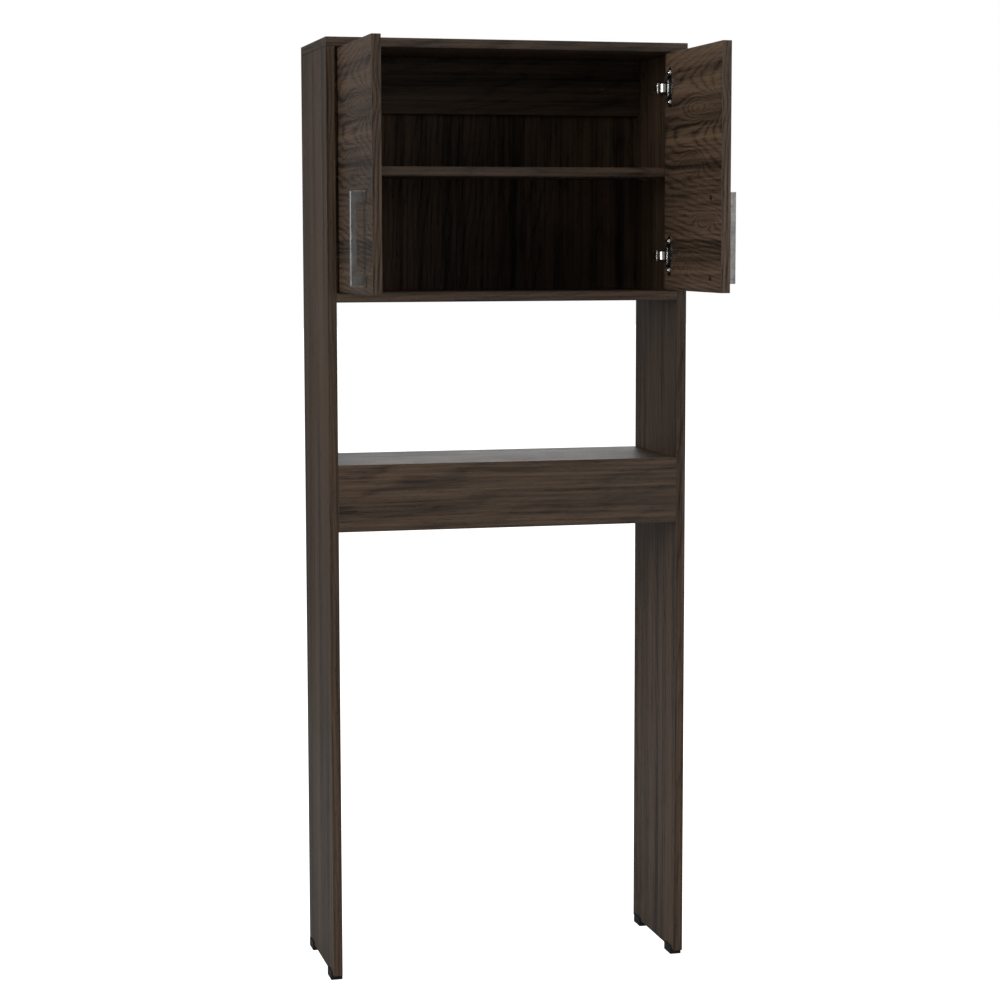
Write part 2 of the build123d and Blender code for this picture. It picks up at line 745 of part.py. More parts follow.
with BuildPart() as left_plate_screws:
    for hinge_height in hinge_heights.values():
        for offset_z in (-plate_screw_spacing / 2, plate_screw_spacing / 2):
            seat = hinge_point(0, plate_screw_depth) + Vector(0, 0, hinge_height + offset_z)
            rod(seat, (-1, 0, 0), plate_screw_diameter - 2 * fit_gap, plate_screw_length)
            rod(seat, (1, 0, 0), plate_screw_diameter - 2 * fit_gap, plate_wing_thickness)
            head_start = seat + Vector(plate_wing_thickness, 0, 0)
            rod(head_start, (1, 0, 0), plate_screw_head_diameter, plate_screw_head_height)
save_pair(left_plate_screws, "hinge_plate_screws")

with BuildPart() as left_arm_screws:
    for hinge_height in hinge_heights.values():
        for screw_depth in arm_screw_depths:
            start = hinge_point(arm_height, screw_depth) + Vector(0, 0, hinge_height)
            rod(start, (-1, 0, 0), arm_screw_diameter - 2 * fit_gap, arm_height - arm_screw_tip)
            rod(start, (1, 0, 0), arm_screw_head_diameter, arm_screw_head_height)
save_pair(left_arm_screws, "hinge_arm_screws")

print("front plane at y =", front_y)
print("door axis", swing_axis, "link axis", arm_pin, "link turn", link_turn)
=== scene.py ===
# %% [markdown]
# # A storage rack that stands over a toilet
# The rack is a flat-pack piece: dark laminated boards, a cabinet with a pair of doors on
# concealed hinges, bar handles and small plastic feet. Every board, hinge and fitting
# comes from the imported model, which is already the right size and in the right place. What
# is left to make here is how each piece looks: the printed wood grain, the edge bands, the
# plated steel and the screws with their cross recesses.

import json
from math import cos, pi, radians, sin

import bmesh
import bpy
from mathutils import Euler, Matrix, Vector

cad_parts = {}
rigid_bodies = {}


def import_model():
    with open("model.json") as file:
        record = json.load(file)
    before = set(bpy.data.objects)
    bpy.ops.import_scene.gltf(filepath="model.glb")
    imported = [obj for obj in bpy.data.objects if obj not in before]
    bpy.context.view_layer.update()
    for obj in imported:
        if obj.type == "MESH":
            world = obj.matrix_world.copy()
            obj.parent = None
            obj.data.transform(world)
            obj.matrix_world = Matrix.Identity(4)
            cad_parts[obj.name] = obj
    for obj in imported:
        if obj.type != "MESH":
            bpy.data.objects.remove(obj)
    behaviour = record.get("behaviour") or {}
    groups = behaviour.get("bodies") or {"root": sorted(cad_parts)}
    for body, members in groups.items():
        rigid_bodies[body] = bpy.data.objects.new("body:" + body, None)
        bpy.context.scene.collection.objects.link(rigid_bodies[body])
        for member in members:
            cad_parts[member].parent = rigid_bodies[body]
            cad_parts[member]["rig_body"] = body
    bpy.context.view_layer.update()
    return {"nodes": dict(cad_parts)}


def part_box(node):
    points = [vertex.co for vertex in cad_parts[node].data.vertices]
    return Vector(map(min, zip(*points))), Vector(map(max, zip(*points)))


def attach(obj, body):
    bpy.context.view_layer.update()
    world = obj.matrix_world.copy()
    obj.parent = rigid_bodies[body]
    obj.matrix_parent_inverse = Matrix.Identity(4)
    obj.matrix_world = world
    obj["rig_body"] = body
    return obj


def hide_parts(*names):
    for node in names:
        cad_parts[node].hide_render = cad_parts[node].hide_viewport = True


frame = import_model()
nodes = frame["nodes"]

# %% [markdown]
# ## Small tools for shader trees
# A material is a tree of nodes. These few helpers add a node, set or link its inputs, and
# do sums on numbers and vectors, so that each material below reads like a recipe.


# %% Node helpers
def feed(tree, socket, value):
    """Sets a socket to a value, or joins it to another node's output."""
    if isinstance(value, bpy.types.NodeSocket):
        tree.links.new(value, socket)
    else:
        socket.default_value = value


def put(tree, kind, inputs=None, **settings):
    """Adds a shader node with its settings and inputs, and returns it."""
    node = tree.nodes.new("ShaderNode" + kind)
    for name, value in settings.items():
        setattr(node, name, value)
    for name, value in (inputs or {}).items():
        feed(tree, node.inputs[name], value)
    return node


def calc(tree, operation, *values):
    """One sum on numbers."""
    return put(tree, "Math", dict(enumerate(values)), operation=operation).outputs[0]


def move(tree, operation, *values):
    """One sum on vectors."""
    return put(tree, "VectorMath", dict(enumerate(values)), operation=operation).outputs[0]


def apart(tree, vector):
    """The three numbers of a vector."""
    return put(tree, "SeparateXYZ", {0: vector}).outputs[:3]


def together(tree, x, y, z):
    """A vector from three numbers."""
    return put(tree, "CombineXYZ", {0: x, 1: y, 2: z}).outputs[0]


def noise(tree, vector, stretch, detail=3.0, rough=0.55):
    """Noise from 0 to 1. stretch says how many lumps there are to a metre on each axis."""
    scaled = move(tree, "MULTIPLY", vector, stretch)
    settings = {"Vector": scaled, "Scale": 1.0, "Detail": detail, "Roughness": rough}
    return put(tree, "TexNoise", settings).outputs[0]


def remap(tree, value, low, high, to_low=0.0, to_high=1.0):
    """Stretches the part of value between low and high onto another range, and clips it."""
    limits = {"Value": value, "From Min": low, "From Max": high, "To Min": to_low, "To Max": to_high}
    return put(tree, "MapRange", limits).outputs[0]


def mix_colours(tree, factor, first, second, blend="MIX"):
    """Mixes two colours."""
    inputs = {0: factor, 6: first, 7: second}
    return put(tree, "Mix", inputs, data_type="RGBA", blend_type=blend).outputs[2]


def mix_numbers(tree, factor, first, second):
    """Mixes two numbers."""
    return put(tree, "Mix", {0: factor, 2: first, 3: second}, data_type="FLOAT").outputs[0]


def mix_vectors(tree, factor, first, second):
    """Mixes two vectors."""
    return put(tree, "Mix", {0: factor, 4: first, 5: second}, data_type="VECTOR").outputs[1]


def colour(red, green, blue):
    """An opaque colour."""
    return (red, green, blue, 1.0)


print("a tree can be fed with numbers, vectors and colours")

# %% [markdown]
# ## Groups, for effects that several materials share
# Wood grain is needed on eleven boards and polishing lines on six metals. Copying the nodes
# into each material would work, but a node group is built once and takes its own values in
# each material through named sockets.

# %% Group helper
SOCKETS = {"number": "NodeSocketFloat", "vector": "NodeSocketVector", "colour": "NodeSocketColor"}


def start_group(name, inputs, outputs):
    """A new node group with named sockets. Returns the tree, its inputs and its outputs."""
    tree = bpy.data.node_groups.new(name, "ShaderNodeTree")
    for label, (kind, default) in inputs.items():
        socket = tree.interface.new_socket(label, in_out="INPUT", socket_type=SOCKETS[kind])
        if default is not None:
            socket.default_value = default
    for label, kind in outputs.items():
        tree.interface.new_socket(label, in_out="OUTPUT", socket_type=SOCKETS[kind])
    return tree, tree.nodes.new("NodeGroupInput").outputs, tree.nodes.new("NodeGroupOutput").inputs


def use_group(tree, group, inputs):
    """Puts a group in a tree and returns its outputs."""
    node = tree.nodes.new("ShaderNodeGroup")
    node.node_tree = group
    for name, value in inputs.items():
        feed(tree, node.inputs[name], value)
    return node.outputs


print("a group's sockets can be", ", ".join(SOCKETS))

# %% [markdown]
# ## Edges of a board
# A laminated board tells its age at its edges. Its shader needs to know how far a point is
# from the nearest edge, so this group takes a point measured from the board's middle and
# the board's half size. Each of the three gaps to the sides is worked out: the smallest is
# zero on the surface, and the middle one is the distance to the nearest edge.


# %% Group: board edges
def make_board_edges():
    tree, given, result = start_group(
        "Board Edges",
        {"Point": ("vector", None), "Half Size": ("vector", None)},
        {"Edge Distance": "number", "Depth": "number", "Gap": "vector"},
    )
    gap = move(tree, "SUBTRACT", given["Half Size"], move(tree, "ABSOLUTE", given["Point"]))
    x, y, z = apart(tree, gap)
    low = calc(tree, "MINIMUM", x, y)
    high = calc(tree, "MAXIMUM", x, y)
    feed(tree, result["Edge Distance"], calc(tree, "MAXIMUM", low, calc(tree, "MINIMUM", high, z)))
    feed(tree, result["Depth"], calc(tree, "MINIMUM", low, z))
    feed(tree, result["Gap"], gap)
    return tree


board_edges = make_board_edges()
print("made", board_edges.name)

# %% [markdown]
# ## Raw chipboard
# Where a board isn't covered, in its drilled holes and on the edges that face the wall,
# the pressed chips show. Modelling every chip would take millions of faces, so a cell
# pattern gives flakes of different tones instead.


# %% Group: raw chipboard
def make_chipboard():
    tree, given, result = start_group(
        "Raw Chipboard",
        {"Point": ("vector", None)},
        {"Color": "colour", "Height": "number"},
    )
    chips = move(tree, "MULTIPLY", given["Point"], (260.0, 420.0, 700.0))
    cells = put(tree, "TexVoronoi", {"Vector": chips, "Scale": 1.0, "Randomness": 1.0})
    tone = put(tree, "SeparateColor", {0: cells.outputs["Color"]}).outputs[0]
    wood = mix_colours(tree, tone, colour(0.19, 0.12, 0.065), colour(0.50, 0.36, 0.21))
    dark = remap(tree, cells.outputs["Distance"], 0.35, 0.75)
    feed(tree, result["Color"], mix_colours(tree, dark, wood, colour(0.10, 0.06, 0.035)))
    feed(tree, result["Height"], calc(tree, "SUBTRACT", tone, dark))
    return tree


chipboard = make_chipboard()
print("made", chipboard.name)

# %% [markdown]
# ## A knot in the grain
# Where a branch left the trunk, the rings swell round it. Adding a soft hill to the ring
# radius does the same: the lines bend round the hill and close into eyes at its top.


# %% Group: knot
def make_knot():
    tree, given, result = start_group(
        "Knot",
        {
            "Point": ("vector", None),
            "Centre": ("vector", None),
            "Size": ("vector", (0.04, 0.015, 1.0)),
            "Swell": ("number", 0.02),
        },
        {"Swelling": "number"},
    )
    offset = move(tree, "SUBTRACT", given["Point"], given["Centre"])
    far = put(tree, "VectorMath", {0: move(tree, "DIVIDE", offset, given["Size"])}, operation="LENGTH")
    steep = calc(tree, "POWER", far.outputs["Value"], 1.6)
    fall = calc(tree, "EXPONENT", calc(tree, "MULTIPLY", steep, -1.0))
    feed(tree, result["Swelling"], calc(tree, "MULTIPLY", fall, given["Swell"]))
    return tree


knot = make_knot()
print("made", knot.name)

# %% [markdown]
# ## Dark walnut laminate
# The boards are covered with a printed walnut film. A flat picture of wood would repeat, and
# couldn't turn round the edges, so the grain is worked out. Real walnut shows the rings of a
# trunk cut at a slant, so the group works out how far each point lies from the heart of a
# wandering trunk and draws a line for each year. Over that go broad bands, streaks and
# fibres, each a noise that is stretched along the grain, and short dark pores.
#
# A board has three kinds of surface: its faces, its long edges and its ends. The film runs
# along each of them, so the group turns the pattern to suit. Last come the joint of the
# edge band, the lighter corners, partly wear and partly a painted highlight along the edges,
# and raw chipboard where nothing covers it.
#
# Lengths are in metres: YEAR is the distance between two dark lines, and BEVEL the small
# bevel of the imported boards' edges.


# %% Group: walnut laminate
YEAR = 0.0058
MIDDLE_RING = 0.35
MIDDLE_DARKNESS = 0.44
FILM_LIGHT = colour(0.096, 0.061, 0.038)
FILM_DARK = colour(0.011, 0.0066, 0.0040)
FILM_PORE = colour(0.006, 0.004, 0.003)
EDGE_WEAR_AND_HIGHLIGHT = colour(0.13, 0.09, 0.065)
BEVEL = 0.0005


def film_point(tree, point, gap, seed):
    """Turns the pattern to run along a face, along a long edge, or along an end."""
    x, y, z = apart(tree, point)
    gaps = apart(tree, gap)
    on_face = calc(tree, "LESS_THAN", gaps[2], BEVEL * 0.1)
    on_end = calc(tree, "LESS_THAN", gaps[0], BEVEL * 0.9)
    end_or_edge = mix_vectors(tree, on_end, together(tree, x, z, y), together(tree, y, z, x))
    laid = mix_vectors(tree, on_face, end_or_edge, point)
    return move(tree, "ADD", laid, seed)


def ring_line(tree, film, heart, slope, swelling):
    """From 0 just after a dark line to 1 on it, for each year of growth."""
    x, y, z = apart(tree, film)
    sway = calc(tree, "MULTIPLY", noise(tree, film, (2.4, 9.0, 9.0), 2.0), 0.030)
    lift = calc(tree, "MULTIPLY", noise(tree, film, (4.0, 16.0, 5.0), 2.0), 0.018)
    heart_y, heart_z = apart(tree, heart)[:2]
    across = calc(tree, "ADD", calc(tree, "SUBTRACT", y, heart_y), sway)
    rise = calc(tree, "ADD", calc(tree, "MULTIPLY", x, slope), lift)
    depth = calc(tree, "ADD", calc(tree, "SUBTRACT", z, heart_z), rise)
    from_heart = together(tree, across, depth, 0.0)
    radius = put(tree, "VectorMath", {0: from_heart}, operation="LENGTH").outputs["Value"]
    grown = calc(tree, "ADD", radius, swelling)
    ragged = calc(tree, "MULTIPLY", noise(tree, film, (12.0, 220.0, 220.0), 2.0), YEAR * 0.6)
    years = calc(tree, "DIVIDE", calc(tree, "ADD", grown, ragged), YEAR)
    return calc(tree, "FRACT", years)


def make_walnut():
    tree, given, result = start_group(
        "Walnut Laminate",
        {
            "Point": ("vector", None),
            "Half Size": ("vector", None),
            "Seed": ("vector", None),
            "Heart": ("vector", (0.25, 0.06, 0.0)),
            "Slope": ("number", 0.05),
            "Swelling": ("number", 0.0),
            "Raw Direction": ("vector", None),
            "Raw Limit": ("number", 9.0),
            "Tone": ("number", 1.0),
            "Figure": ("number", 1.0),
            "Banding": ("number", 2.1),
        },
        {"Color": "colour", "Roughness": "number", "Height": "number"},
    )
    point = given["Point"]
    edges = use_group(tree, board_edges, {"Point": point, "Half Size": given["Half Size"]})
    film = film_point(tree, point, edges["Gap"], given["Seed"])

    line = ring_line(tree, film, given["Heart"], given["Slope"], given["Swelling"])
    ring = put(tree, "ValToRGB", {0: line})
    shades = ring.color_ramp.elements
    shades[0].position, shades[0].color = 0.0, colour(0.85, 0.85, 0.85)
    shades[1].position, shades[1].color = 1.0, colour(0.95, 0.95, 0.95)
    for position, value in ((0.12, 0.30), (0.45, 0.05), (0.70, 0.25), (0.88, 0.80)):
        shades.new(position).color = colour(value, value, value)
    ring_dark = put(tree, "SeparateColor", {0: ring.outputs[0]}).outputs[0]

    bands = noise(tree, film, (0.9, 42.0, 42.0), 3.0)
    streaks = noise(tree, film, (3.0, 170.0, 170.0), 3.0, 0.65)
    fibres = noise(tree, film, (16.0, 900.0, 900.0), 2.0)
    strength = remap(tree, noise(tree, film, (2.5, 12.0, 12.0)), 0.35, 0.65, 0.35, 1.0)
    rings = calc(tree, "MULTIPLY", calc(tree, "SUBTRACT", ring_dark, MIDDLE_RING), strength)
    dark = calc(tree, "MULTIPLY", rings, given["Figure"])
    for layer, weight in ((bands, given["Banding"]), (streaks, 1.7), (fibres, 0.60)):
        dark = calc(tree, "ADD", dark, calc(tree, "MULTIPLY", calc(tree, "SUBTRACT", layer, 0.5), weight))
    dark = calc(tree, "ADD", dark, MIDDLE_DARKNESS)
    dark = put(tree, "Clamp", {0: dark}).outputs[0]
    wood = mix_colours(tree, dark, FILM_LIGHT, FILM_DARK)

    pores = remap(tree, noise(tree, film, (60.0, 1000.0, 1000.0), 1.0), 0.60, 0.72)
    pores = calc(tree, "MULTIPLY", pores, remap(tree, dark, 0.25, 0.7, 0.45, 1.0))
    wood = mix_colours(tree, pores, wood, FILM_PORE)
    # Tone multiplies the whole colour: painted light or painted shade for a board, where it is not 1.
    tone = together(tree, given["Tone"], given["Tone"], given["Tone"])
    wood = mix_colours(tree, 1.0, wood, tone, "MULTIPLY")

    edge = edges["Edge Distance"]
    past_bevel = remap(tree, edge, BEVEL * 1.1, BEVEL * 1.3)
    before_face = remap(tree, edge, BEVEL * 2.2, BEVEL * 1.8)
    joint = calc(tree, "MULTIPLY", past_bevel, before_face)
    wood = mix_colours(tree, calc(tree, "MULTIPLY", joint, 0.55), wood, FILM_PORE)
    # Lighter corners on the bevel: partly wear, partly a painted highlight along the edges.
    edge_patches = remap(tree, noise(tree, point, (60.0, 60.0, 60.0), 4.0), 0.42, 0.62, 0.1, 1.0)
    lighter_mask = calc(tree, "MULTIPLY", remap(tree, edge, BEVEL * 1.2, BEVEL * 0.4), edge_patches)
    wood = mix_colours(tree, calc(tree, "MULTIPLY", lighter_mask, 0.5), wood, EDGE_WEAR_AND_HIGHLIGHT)

    raw = use_group(tree, chipboard, {"Point": point})
    toward = put(tree, "VectorMath", {0: point, 1: given["Raw Direction"]}, operation="DOT_PRODUCT")
    bare = calc(tree, "GREATER_THAN", toward.outputs["Value"], given["Raw Limit"])
    bare = calc(tree, "MAXIMUM", bare, calc(tree, "GREATER_THAN", edges["Depth"], BEVEL * 0.8))
    feed(tree, result["Color"], mix_colours(tree, bare, wood, raw["Color"]))

    smudge = noise(tree, point, (7.0, 7.0, 7.0), 3.0)
    rough = calc(tree, "ADD", 0.44, calc(tree, "MULTIPLY", calc(tree, "SUBTRACT", smudge, 0.5), 0.16))
    rough = calc(tree, "ADD", rough, calc(tree, "MULTIPLY", fibres, 0.08))
    rough = calc(tree, "ADD", rough, calc(tree, "MULTIPLY", calc(tree, "MAXIMUM", pores, lighter_mask), 0.15))
    feed(tree, result["Roughness"], mix_numbers(tree, bare, rough, 0.9))
    fine = calc(tree, "SUBTRACT", calc(tree, "MULTIPLY", fibres, 0.35), pores)
    fine = calc(tree, "SUBTRACT", fine, calc(tree, "MULTIPLY", joint, 1.2))
    feed(tree, result["Height"], mix_numbers(tree, bare, fine, calc(tree, "MULTIPLY", raw["Height"], 3.0)))
    return tree


walnut = make_walnut()
print("made", walnut.name)

# %% [markdown]
# ## Putting laminate on a board
# Each board gets a material of its own, because its grain has its own direction and no two
# boards are cut from the same place. `axes` names three axes in this order: the one that the
# grain follows, the other one of the face, and the thickness. `figure` is how strongly the
# rings show, `banding` how strongly the broad bands do, and `sheen` how much light the film
# mirrors. `tone` scales a board's whole colour: where it is not 1, it is painted light or
# painted shade, making a board lighter or darker for how the light falls on it.


# %% Laminate on a board
def finish_material(material, colours, roughness, height, bump, metal=0.0, **constants):
    """Joins a pattern to a Principled shader, with its height as a bump."""
    tree = material.node_tree
    shader = tree.nodes["Principled BSDF"]
    feed(tree, shader.inputs["Base Color"], colours)
    feed(tree, shader.inputs["Roughness"], roughness)
    shader.inputs["Metallic"].default_value = metal
    for name, value in constants.items():
        shader.inputs[name.replace("_", " ")].default_value = value
    strength, distance = bump
    bumped = put(tree, "Bump", {"Strength": strength, "Distance": distance, "Height": height})
    feed(tree, shader.inputs["Normal"], bumped.outputs[0])


def new_material(name):
    material = bpy.data.materials.new(name)
    material.use_nodes = True
    return material


def dress(node, material):
    """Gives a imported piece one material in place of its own."""
    nodes[node].data.materials.clear()
    nodes[node].data.materials.append(material)


def board_point(tree, middle, axes):
    """Object coordinates from a board's middle, in the order along, across, through."""
    place = put(tree, "TexCoord").outputs["Object"]
    shares = dict(zip("XYZ", apart(tree, move(tree, "SUBTRACT", place, middle))))
    return together(tree, *[shares[axis] for axis in axes])


def dress_board(
    node,
    axes,
    seed,
    heart=(0.25, 0.06),
    slope=0.05,
    knots=(),
    raw=None,
    tone=1.0,
    figure=0.45,
    banding=2.1,
    sheen=0.30,
):
    """Gives a board its own walnut laminate. Knots are (along, across, length, width, swell)."""
    low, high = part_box(node)
    middle = (low + high) / 2
    size = dict(zip("XYZ", (high - low) / 2))
    half = Vector([size[axis] for axis in axes])
    material = new_material("Walnut " + node.replace("_", " "))
    tree = material.node_tree
    point = board_point(tree, middle, axes)
    swelling = 0.0
    for along, across, length, width, swell in knots:
        shape = {
            "Point": point,
            "Centre": (along, across, 0.0),
            "Size": (length, width, 1.0),
            "Swell": swell,
        }
        swelling = calc(tree, "ADD", swelling, use_group(tree, knot, shape)[0])
    settings = {
        "Point": point,
        "Half Size": half,
        "Seed": seed,
        "Heart": (*heart, 0.0),
        "Slope": slope,
        "Swelling": swelling,
        "Tone": tone,
        "Figure": figure,
        "Banding": banding,
    }
    if raw is not None:
        settings["Raw Direction"] = raw
        settings["Raw Limit"] = Vector([abs(part) for part in raw]).dot(half) - BEVEL * 1.1
    film = use_group(tree, walnut, settings)
    look = (film["Color"], film["Roughness"], film["Height"])
    finish_material(material, *look, (0.35, 0.0002), Specular_IOR_Level=sheen)
    dress(node, material)
    print("dressed", node, "with grain along", axes[0])


print("the grain's years are", YEAR * 1000, "mm apart")

# %% [markdown]
# ## The carcass
# Upright boards have upright grain and lying boards have grain along their length. The
# edge towards the wall is left raw, as on most flat-pack furniture.

# %% Dress the carcass
TO_WALL = (0.0, 1.0, 0.0)
# The left side panel's tone of 0.88 is painted shade, darkening its outer face for the light that falls on
# it.
dress_board(
    "left_side_panel", "ZYX", (1.3, 0.40, 0.0),
    heart=(0.62, 0.05), raw=TO_WALL, tone=0.88, sheen=0.22,
)
dress_board("right_side_panel", "ZYX", (4.9, 0.10, 0.5), heart=(0.36, 0.07), raw=TO_WALL, sheen=0.22)
dress_board("top_panel", "XYZ", (2.7, 0.0, 1.1), heart=(0.22, 0.05), raw=TO_WALL)
dress_board("cabinet_bottom_panel", "XYZ", (7.3, 0.2, 0.3), heart=(0.50, 0.05), raw=TO_WALL)
dress_board("cabinet_shelf", "XYZ", (9.1, 0.1, 2.3), heart=(0.40, 0.05), raw=TO_WALL)
dress_board("middle_shelf", "XYZ", (3.7, 0.3, 0.9), heart=(0.55, 0.06), raw=TO_WALL)
dress_board(
    "middle_apron", "XZY", (5.9, 0.0, 1.9),
    heart=(0.30, 0.03), slope=0.02, figure=0.55, banding=0.7,
)
# Tones below 1 on the hanging rail and the back panel are painted shade for the dark inside of the cabinet.
dress_board("hanging_rail", "XZY", (6.1, 0.2, 0.7), heart=(0.40, 0.04), tone=0.70, sheen=0.12)
dress_board("back_panel", "ZXY", (8.3, 0.5, 0.2), heart=(0.75, 0.08), tone=0.85, sheen=0.08)

# %% [markdown]
# ## The doors
# The doors have the liveliest boards: the grain runs across them, with arches and eyes
# where branches left the trunk.

# %% Dress the doors
DOOR_KNOTS = (
    (-0.030, 0.098, 0.075, 0.022, 0.040),
    (-0.090, 0.098, 0.024, 0.012, 0.030),
    (0.005, 0.012, 0.036, 0.013, 0.036),
    (-0.060, -0.080, 0.036, 0.011, 0.028),
    (0.050, -0.150, 0.050, 0.016, 0.030),
)
dress_board(
    "left_door", "YZX", (2.1, 0.0, 0.02),
    heart=(0.10, 0.035), slope=0.10, knots=DOOR_KNOTS, figure=0.90,
)
# The right door's tone of 1.32 is painted light: it lightens the inner face that the open left door shades.
dress_board(
    "right_door", "YZX", (2.1, 0.0, 0.02),
    heart=(0.10, 0.035), slope=0.10, knots=DOOR_KNOTS, figure=0.75, tone=1.32,
)

# %% [markdown]
# ## Metal finishes
# Six metals are used. The handles are satin bars, held by browned screws. The hinges and
# their screws are nickel plated, and the cups are a darker nickel. Nails and cam bolts are bright
# zinc, and the cams are dull cast zinc. A material for each could be built from nothing, but
# the six differ only in colour, in gloss, and in how long and how deep their polishing lines
# are. So one group makes the lines and a cloudy change of gloss from handling, and each metal
# sets its own values.


# %% Group: polished lines
def make_polish():
    tree, given, result = start_group(
        "Polished Metal",
        {
            "Point": ("vector", None),
            "Stretch": ("vector", (2600.0, 2600.0, 40.0)),
            "Base": ("colour", colour(0.6, 0.6, 0.6)),
            "Shade": ("colour", colour(0.4, 0.4, 0.4)),
            "Gloss": ("number", 0.3),
        },
        {"Color": "colour", "Roughness": "number", "Height": "number"},
    )
    lines = noise(tree, given["Point"], given["Stretch"], 2.0, 0.6)
    clouds = noise(tree, given["Point"], (90.0, 90.0, 90.0), 3.0)
    lighter_mask = calc(tree, "MULTIPLY", lines, clouds)
    lighter_mask = remap(tree, lighter_mask, 0.12, 0.42)
    feed(tree, result["Color"], mix_colours(tree, lighter_mask, given["Shade"], given["Base"]))
    scratch = calc(tree, "MULTIPLY", calc(tree, "SUBTRACT", lines, 0.5), 0.18)
    rough = calc(tree, "ADD", given["Gloss"], scratch)
    rough = calc(tree, "ADD", rough, calc(tree, "MULTIPLY", calc(tree, "SUBTRACT", clouds, 0.5), 0.16))
    feed(tree, result["Roughness"], rough)
    feed(tree, result["Height"], lines)
    return tree


polish = make_polish()
print("made", polish.name)


# %% Metal materials
def metal(name, stretch, base, shade, gloss, bump):
    material = new_material(name)
    tree = material.node_tree
    place = put(tree, "TexCoord").outputs["Object"]
    settings = {"Point": place, "Stretch": stretch, "Base": base, "Shade": shade, "Gloss": gloss}
    surface = use_group(tree, polish, settings)
    finish_material(material, surface["Color"], surface["Roughness"], surface["Height"], bump, metal=1.0)
    return material


satin_bar = metal(
    "Satin handle metal",
    (3000.0, 3000.0, 45.0),
    colour(0.42, 0.405, 0.385),
    colour(0.27, 0.26, 0.248),
    0.30,
    (0.25, 0.00005),
)
nickel = metal(
    "Nickel plate",
    (700.0, 700.0, 700.0),
    colour(0.72, 0.70, 0.66),
    colour(0.58, 0.56, 0.53),
    0.22,
    (0.10, 0.00004),
)
zinc = metal(
    "Bright zinc",
    (900.0, 900.0, 900.0),
    colour(0.62, 0.64, 0.66),
    colour(0.44, 0.46, 0.49),
    0.28,
    (0.15, 0.00004),
)
cast_zinc = metal(
    "Cast zinc",
    (1500.0, 1500.0, 1500.0),
    colour(0.10, 0.095, 0.09),
    colour(0.05, 0.047, 0.045),
    0.50,
    (0.60, 0.00010),
)
bronze = metal(
    "Browned steel",
    (900.0, 900.0, 900.0),
    colour(0.055, 0.045, 0.038),
    colour(0.03, 0.025, 0.021),
    0.42,
    (0.15, 0.00004),
)
darker_nickel = metal(
    "Darker nickel",
    (700.0, 700.0, 700.0),
    colour(0.30, 0.295, 0.285),
    colour(0.20, 0.195, 0.19),
    0.25,
    (0.10, 0.00004),
)
print("made six metals")

# %% [markdown]
# ## Moulded plastic and beech
# The feet are black plastic with the fine spark texture of a mould, paler in patches in their
# lowest few millimetres: the height above the floor drives that, because the imported model
# stands on it. The dowels are bare beech with fine fibres. All of them share one piece, and
# eight of the ten lie along X, so the fibres run along X.


# %% Plastic and dowel materials
def make_plastic():
    material = new_material("Black moulded plastic")
    tree = material.node_tree
    place = put(tree, "TexCoord").outputs["Object"]
    grain = noise(tree, place, (2200.0, 2200.0, 2200.0), 2.0)
    clouds = noise(tree, place, (120.0, 120.0, 120.0), 4.0)
    height = apart(tree, place)[2]
    # Patches in the lowest few millimetres are paler.
    paler_near_floor = calc(tree, "MULTIPLY", remap(tree, height, 0.0030, 0.0002), remap(tree, clouds, 0.40, 0.60))
    black = mix_colours(tree, clouds, colour(0.009, 0.009, 0.0095), colour(0.017, 0.017, 0.018))
    shade = mix_colours(tree, calc(tree, "MULTIPLY", paler_near_floor, 0.6), black, colour(0.06, 0.06, 0.062))
    rough = calc(tree, "ADD", 0.42, calc(tree, "MULTIPLY", grain, 0.2))
    finish_material(material, shade, rough, grain, (0.30, 0.00008), Specular_IOR_Level=0.14)
    return material


def make_beech():
    material = new_material("Beech dowel")
    tree = material.node_tree
    place = put(tree, "TexCoord").outputs["Object"]
    fibres = noise(tree, place, (60.0, 1500.0, 1500.0), 3.0)
    wood = mix_colours(tree, fibres, colour(0.42, 0.27, 0.15), colour(0.62, 0.45, 0.28))
    finish_material(material, wood, 0.7, fibres, (0.30, 0.0002))
    return material


black_plastic = make_plastic()
beech = make_beech()
print("made", black_plastic.name, "and", beech.name)


# %% [markdown]
# ## Handing out the simple finishes
# A piece's name says what it is made of, so its finish can be found from its name. The first
# part of a name that fits wins, so the handles' screws come before the other screws.

# %% Dress the small pieces
FINISHES = (
    ("_foot", black_plastic),
    ("_door_handle", satin_bar),
    ("wood_dowels", beech),
    ("cam_locks", cast_zinc),
    ("cam_bolts", zinc),
    ("_nails", zinc),
    ("_handle_screws", bronze),
    ("_screws", nickel),
    ("_hinge_cup", darker_nickel),
    ("_hinge_", nickel),
    ("_shelf_pins", nickel),
)
for node in sorted(nodes):
    for part_of_name, material in FINISHES:
        if part_of_name in node:
            dress(node, material)
            break
print("dressed the small pieces")

# %% [markdown]
# ## Screws and nails with real heads
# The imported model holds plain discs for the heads. On the real rack they catch the light: a
# pan-head screw is domed with a cross recess, and a nail has a low dome. Both are round, so
# one function spins a profile round the Z axis. Another cuts the head along the sides of a
# cross, and pushes the faces inside it down.


# %% Turned heads
def turned_piece(profile, sides):
    """Spins a profile of (radius, height) points round the Z axis into a shell, closed where the profile
    reaches the axis.
    """
    work = bmesh.new()
    points = [work.verts.new((radius, 0.0, height)) for radius, height in profile]
    edges = [work.edges.new(pair) for pair in zip(points, points[1:])]
    bmesh.ops.spin(
        work, geom=points + edges, cent=(0, 0, 0), axis=(0, 0, 1), angle=2 * pi, steps=sides, use_merge=True
    )
    bmesh.ops.remove_doubles(work, verts=work.verts, dist=1e-6)
    bmesh.ops.recalc_face_normals(work, faces=work.faces)
    return work


